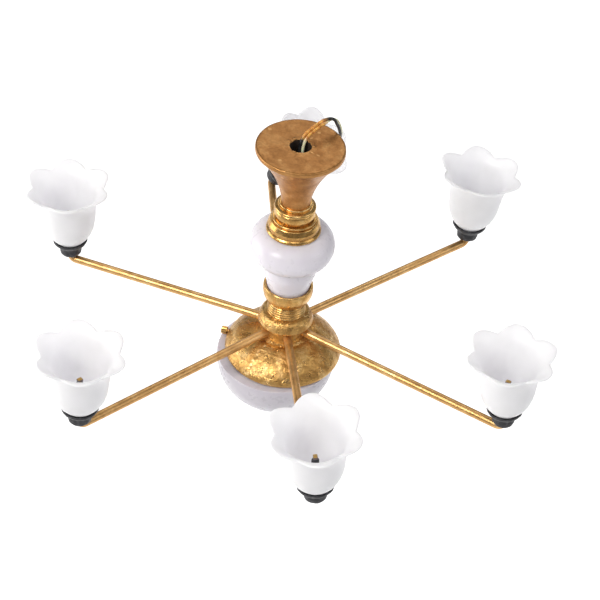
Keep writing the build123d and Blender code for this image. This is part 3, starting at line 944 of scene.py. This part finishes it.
def make_chip(number, materials):
    """Lamp chip: a pale case with soft edges and a domed yellow lens."""
    case = [(0.02, 0.0), (0.56, 0.0), (0.62, 0.06), (0.62, 0.3), (0.56, 0.36), (0.46, 0.37)]
    lens = arc_line((0.0, 0.12), 0.46, 33, 88, 8) + [(0.02, 0.3)]
    width, depth = CHIP_SQUEEZE
    outline = [(r, POST_TOP + height) for r, height in case + lens]
    rounds = 48
    points = []
    for step in range(rounds):
        angle = 2 * math.pi * step / rounds
        square = 1 / max(abs(math.cos(angle)), abs(math.sin(angle))) ** 0.75
        for r, z in outline:
            reach = r * square if r > 0.5 else r
            points.append((width * reach * math.cos(angle), depth * reach * math.sin(angle), z))
    faces = ring_faces(rounds, len(outline))
    coats = [materials["led_case"], materials["led_yellow"]]
    piece = mesh_object(f"led_chip_{number}", points, faces, coats)
    for polygon in piece.data.polygons:
        if polygon.center.z > (POST_TOP + LENS_FOOT) * MM:
            polygon.material_index = 1
    piece.matrix_world = lamp_place(number)
    return stand_for(piece, f"led_{number}")


def shade_side():
    """Side of the shade from its hole to a petal's tip, as points of (radius, height)."""
    side = [
        (SHADE_HOLE_R, 3.4),
        (1.7, 3.46),
        (2.45, 4.2),
        (3.3, 5.4),
        (3.85, 7.0),
        (4.08, 9.0),
        (4.3, 11.0),
        (4.75, 12.4),
        (5.5, 13.3),
        (SHADE_R, 13.9),
    ]
    return np.array(smooth_line(side, 16))


def rim_radius(angle):
    """How far out the shade's rim is at an angle: scalloped between petal tips and notches."""
    return SHADE_R - NOTCH_DEPTH * (1 - (0.5 + 0.5 * math.cos(PETALS * angle)) ** 0.6)


def shade_points(rounds, rows, rim_rows):
    """Sections of the shade round its axis, and how many points each one has.
    Each goes up the outside, over the rounded rim and down the inside."""
    side = shade_side()
    along = np.concatenate([[0], np.cumsum(np.linalg.norm(np.diff(side, axis=0), axis=1))])
    points = []
    for turn in range(rounds):
        angle = 2 * math.pi * turn / rounds
        end = np.interp(rim_radius(angle), side[:, 0], along)
        stations = np.linspace(0, end, rows)
        r, z = np.interp(stations, along, side[:, 0]), np.interp(stations, along, side[:, 1])
        slope = np.stack([np.gradient(r), np.gradient(z)], axis=1)
        slope /= np.linalg.norm(slope, axis=1)[:, None]
        inward = np.stack([-slope[:, 1], slope[:, 0]], axis=1)
        wall = SHADE_WALL * (1 - 0.25 * (stations / along[-1]) ** 2)
        flare = np.clip((stations / along[-1] - LOBE_START) / (1 - LOBE_START), 0, 1)
        lobed = LOBE_HEIGHT * math.cos(PETALS * angle) * flare**1.5
        outer = np.stack([r + lobed, z], axis=1)
        inner = outer + inward * wall[:, None]
        middle, half = (outer[-1] + inner[-1]) / 2, wall[-1] / 2
        rim = []
        for step in range(1, rim_rows):
            swing = math.pi * step / rim_rows
            direction = slope[-1] * math.sin(swing) - inward[-1] * math.cos(swing)
            rim.append(middle + half * direction)
        section = [*outer, *rim, *inner[::-1]]
        section[-1] = np.array([SHADE_HOLE_R, section[-1][1]])
        points += [(q[0] * math.cos(angle), q[0] * math.sin(angle), q[1]) for q in section]
    return points, 2 * rows + rim_rows - 1


def make_shade(number, materials):
    """Tulip shade: a thin cup whose flared rim opens into rounded petals."""
    rounds = 192
    points, count = shade_points(rounds, 36, 6)
    offset = Vector((7.0, 3.0, 0)) * number
    points = [Vector(point) for point in points]
    for point in points:
        sway = noise.noise_vector((point + offset) / 3.0)
        point.x += SHADE_UNEVEN * sway.x
        point.y += SHADE_UNEVEN * sway.y
    faces = ring_faces(rounds, count, -1.0)
    piece = mesh_object(f"shade_tulip_{number}", points, faces, [materials["shade_white"]], 60)
    place = lamp_place(number)
    out = place.col[0]
    azimuth = math.atan2(out.y, out.x)
    turn = math.radians(PETAL_AZIMUTH[number - 1]) - azimuth
    piece.matrix_world = place @ Matrix.Rotation(turn, 4, "Z")
    return stand_for(piece, f"shade_{number}")


# ---------------------------------------------------------------- supply lead


def rear(distance, z, side=0.0):
    """Point behind the column, at a distance from its axis and a sideways offset."""
    away = math.radians(REAR_AZIMUTH)
    return (
        distance * math.cos(away) + side * math.sin(away),
        distance * math.sin(away) - side * math.cos(away),
        z,
    )


def hank_route():
    """Turns of the folded lead, side by side: down by the column, round, up behind and over."""
    half = HANK_DEPTH / 2 - CORD_D / 2
    bend = [(half * math.cos(a), half * math.sin(a)) for a in np.linspace(0, math.pi, 7)]
    route = []
    for turn in range(HANK_TURNS):
        top = HANK_TOP_Z - CORD_D / 2 - half - HANK_TOP_DROPS[turn]
        foot = HANK_TOP_Z - HANK_HEIGHT + CORD_D / 2 + half + HANK_FOOT_LIFTS[turn]
        upper, lower = (2 * top + foot) / 3, (top + 2 * foot) / 3
        middle = (turn - (HANK_TURNS - 1) / 2) * HANK_PITCH
        last_turn = turn == HANK_TURNS - 1
        course = [(half, top), (half, upper), (half, lower)]
        course += [(away, foot - drop) for away, drop in bend]
        course += [(-half, lower), (-half, upper)]
        course += [(-away, top + lift) for away, lift in bend[:-1]]
        for index, (away, z) in enumerate(course):
            if last_turn and index > len(course) - 4:
                break
            late = max(0.0, index / len(course) - 0.6) / 0.4
            shift = 0.0 if last_turn else HANK_PITCH * late
            route.append(rear(HANK_DISTANCE - away, z, middle + shift))
    return route


def tail_route():
    """Short loop from the back of the hank over to the top of the plug."""
    start = HANK_DISTANCE + HANK_DEPTH / 2 - CORD_D
    return [
        rear(start, HANK_TOP_Z, 0.5),
        rear(start + 0.2, HANK_TOP_Z + 2.2),
        rear(PLUG_DISTANCE - 1.0, HANK_TOP_Z + 3.2),
        rear(PLUG_DISTANCE + 0.1, HANK_TOP_Z + 0.9),
        rear(PLUG_DISTANCE + 0.1, HANK_TOP_Z - 2.6),
        rear(PLUG_DISTANCE - 0.1, HANK_TOP_Z - 6.4),
        rear(PLUG_DISTANCE, PLUG_TOP_Z),
    ]


def spline_line(route):
    """Points along the NURBS spline that has the route as its control points, in metres."""
    data = bpy.data.curves.new("lead_line", "CURVE")
    data.dimensions = "3D"
    spline = data.splines.new("NURBS")
    spline.points.add(len(route) - 1)
    for point, place in zip(spline.points, route):
        point.co = (*(Vector(place) * MM), 1)
    spline.order_u = 3
    spline.use_endpoint_u = True
    spline.resolution_u = 10
    line_object = add_object("lead_line", data)
    mesh = bpy.data.meshes.new_from_object(line_object)
    line = [vertex.co.copy() for vertex in mesh.vertices]
    bpy.data.objects.remove(line_object)
    return line


def reflection_share(run, leaves_hole, apex):
    """1 between the wire hole and the top of the lead's bend, 0 elsewhere, with soft ends. This is
    where the strands carry a painted reflection of the gilt flange.
    """
    return share((run - leaves_hole) / 0.6) * share((apex - 0.2 - run) / 0.9)


def make_lead(materials):
    """Twin lead along its whole route. The strands cross over at the top of the bend."""
    line = spline_line(LEAD_ROUTE + hank_route() + tail_route())
    runs = [0.0]
    for before, after in zip(line, line[1:]):
        runs.append(runs[-1] + (after - before).length / MM)
    length = runs[-1]
    near = [index for index, run in enumerate(runs) if run < FIRST_BEND_RUN]
    apex = runs[max(near, key=lambda index: line[index].z)]
    leaves_hole = next(run for run, place in zip(runs, line) if place.z > 0.1 * MM)
    across = math.radians(CAMERA_TURN)
    first_side = Vector((math.cos(across), math.sin(across), 0))
    _, frames = tube_rings([place / MM for place in line], 1.0, 3, first_side)
    radius = CORD_D / 4
    sides = 14
    points, faces, painted_reflection, kinds = [], [], [], []
    for strand in (-1, 1):
        centres = []
        for run, place, (side, other) in zip(runs, line, frames):
            cross = math.pi * share((run - apex + 1.0) / CROSSING_RUN)
            away = math.cos(cross) * side + math.sin(cross) * other
            centres.append(place / MM + strand * radius * away)
        rings, _ = tube_rings(centres, 0.98 * radius, sides, first_side)
        faces += tube_faces(len(centres), sides, len(points))
        kinds += [0 if strand > 0 else 1] * (len(faces) - len(kinds))
        points += rings
        # Each point's share of the painted reflection of the flange.
        for run in runs:
            painted_reflection += [reflection_share(run, leaves_hole, apex)] * sides
    skins = [materials["strand_pale"], materials["strand_dark"]]
    piece = mesh_object("supply_lead", points, faces, skins, 60)
    layer = piece.data.attributes.new("painted_reflection", "FLOAT", "POINT")
    layer.data.foreach_set("value", painted_reflection)
    for polygon, kind in zip(piece.data.polygons, kinds):
        polygon.material_index = kind
    return stand_for(piece, "lead_tube", "lead_hank", "lead_tail"), line, length


def make_tie(materials):
    """Soft band round the middle of the hank, pinched slightly at its edges."""
    low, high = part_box("hank_tie")
    height, middle_z = (high.z - low.z) / MM, (high.z + low.z) / 2 / MM
    half_depth, half_width = HANK_DEPTH / 2, HANK_WIDTH / 2
    rounds, rows = 96, 12
    points = []
    for turn in range(rounds):
        angle = 2 * math.pi * turn / rounds
        c, s = math.cos(angle), math.sin(angle)
        edge_x = signed_power(c, 0.4) * (half_depth + 0.02)
        edge_y = signed_power(s, 0.4) * (half_width + 0.02)
        for row in range(rows):
            swing = 2 * math.pi * row / rows
            out = 0.11 + 0.11 * math.cos(swing)
            z = middle_z + 0.5 * height * signed_power(math.sin(swing), 0.6)
            points.append(rear(HANK_DISTANCE + edge_x + out * c, z, edge_y + out * s))
    piece = mesh_object("hank_band", points, ring_faces(rounds, rows), [materials["tie_white"]], 50)
    return stand_for(piece, "hank_tie")


def soft_block(name, half_x, half_y, half_z, material):
    """Block with rounded edges and corners, centred on the origin, in millimetres."""
    rounds, rows = 64, 24
    points = []
    for turn in range(rounds):
        angle = 2 * math.pi * (turn + 0.5) / rounds
        c, s = math.cos(angle), math.sin(angle)
        for row in range(1, rows):
            swing = math.pi * row / rows
            flat, up = math.sin(swing), math.cos(swing)
            direction = Vector((flat * c, flat * s, up))
            x, y, z = (signed_power(value, 0.32) for value in direction)
            points.append((x * half_x, y * half_y, z * half_z))
    faces = []
    count = rows - 1
    for turn in range(rounds):
        near, far = turn * count, (turn + 1) % rounds * count
        faces += [(near + i, near + i + 1, far + i + 1, far + i) for i in range(count - 1)]
    faces.append(tuple(turn * count for turn in range(rounds)))
    faces.append(tuple(turn * count + count - 1 for turn in reversed(range(rounds))))
    return mesh_object(name, points, faces, [material], 50)


def make_plug(materials):
    """Small moulded plug with two round pins."""
    low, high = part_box("plug_body")
    halves = (PLUG_DEPTH / 2, PLUG_WIDTH / 2, (high.z - low.z) / MM / 2)
    body = soft_block("plug_moulding", *halves, materials["plug_white"])
    place = Matrix.Translation(Vector(rear(PLUG_DISTANCE, (high.z + low.z) / 2 / MM)) * MM)
    body.matrix_world = place @ Matrix.Rotation(math.radians(REAR_AZIMUTH), 4, "Z")
    stand_for(body, "plug_body")

    low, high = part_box("plug_pins")
    tip = low.z / MM
    profile = [(PIN_R, high.z / MM), (PIN_R, tip + 0.3)]
    profile += [(0.31, tip + 0.12), (0.21, tip + 0.03), (0.06, tip)]
    sides = 32
    points, faces = [], []
    for side in (-1, 1):
        x, y, _ = rear(PLUG_DISTANCE, 0, side * PIN_PITCH / 2)
        faces += tube_faces(len(profile), sides, len(points))
        for radius, z in profile:
            for step in range(sides):
                angle = -2 * math.pi * step / sides
                points.append((x + radius * math.cos(angle), y + radius * math.sin(angle), z))
    pins = mesh_object("plug_prongs", points, faces, [materials["pin_metal"]])
    stand_for(pins, "plug_pins")
    return [body, pins]


def dress_cad_nodes(materials):
    """Gives the inner CAD pieces that stay their finish."""
    inner = ["stem", "stem_washer", "stem_nut", "lead_splice"]
    inner += [f"arm_lead_{number}" for number in LAMPS]
    for name in inner:
        for material_slot in frame["nodes"][name].material_slots:
            material_slot.material = materials[SLOTS[name]]


# ---------------------------------------------------------------- the whole object

add_camera()
finishes = make_materials()
lead, lead_line, lead_length = make_lead(finishes)
pieces_on_lead = [make_tie(finishes), *make_plug(finishes)]
add_studio()
for make in (
    make_canopy,
    make_beads,
    make_vase,
    make_cup,
    make_collar,
    make_hub,
    make_dish,
    make_bowl,
    make_thumb_screw,
):
    make(finishes)
for number in LAMPS:
    for make in (make_arm, make_holder, make_chip, make_shade):
        make(number, finishes)
dress_cad_nodes(finishes)
